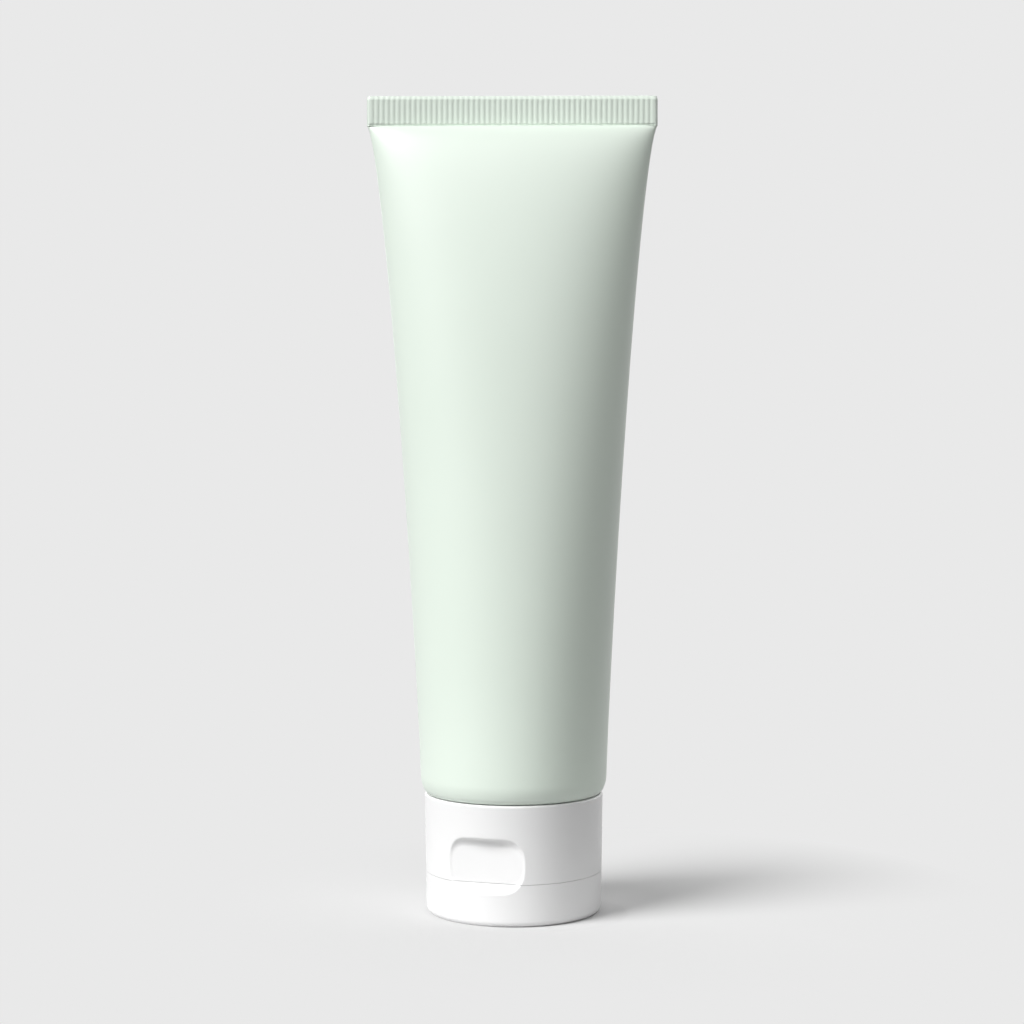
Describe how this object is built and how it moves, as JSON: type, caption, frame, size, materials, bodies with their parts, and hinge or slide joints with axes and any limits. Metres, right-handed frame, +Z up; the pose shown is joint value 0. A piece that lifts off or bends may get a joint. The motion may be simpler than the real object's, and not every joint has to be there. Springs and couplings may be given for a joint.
{
  "type": "cream tube",
  "caption": "Squeeze tube for cream with a ribbed crimp at its flat end, standing on a flip-top cap with a thumb scoop and a living hinge.",
  "frame": {"origin": "on the tube's axis, at the bottom of the lid that the tube stands on", "axes": "+Z up along the tube towards the crimp, X along the crimp, -Y towards the viewer of the picture"},
  "size_m": [0.062, 0.04, 0.1745],
  "materials": {
    "sleeve_plastic": "satin, soft to the touch",
    "head_plastic": "moulded",
    "cream": "smooth cream",
    "cap_plastic": "satin"
  },
  "bodies": {
    "tube": {"tube_sleeve": "sleeve_plastic", "tube_head": "head_plastic", "cream_fill": "cream", "cap_base": "cap_plastic", "hinge_strap": "cap_plastic"},
    "lid": {"cap_lid": "cap_plastic"}
  },
  "joints": [
    {"name": "lid_hinge", "type": "hinge", "parent": "tube", "child": "lid", "pos_m": [0.00599, 0.0171, 0.00894], "axis": [0.9438, -0.3305, 0], "range_deg": [0, 150], "deforming": ["hinge_strap"]}
  ]
}
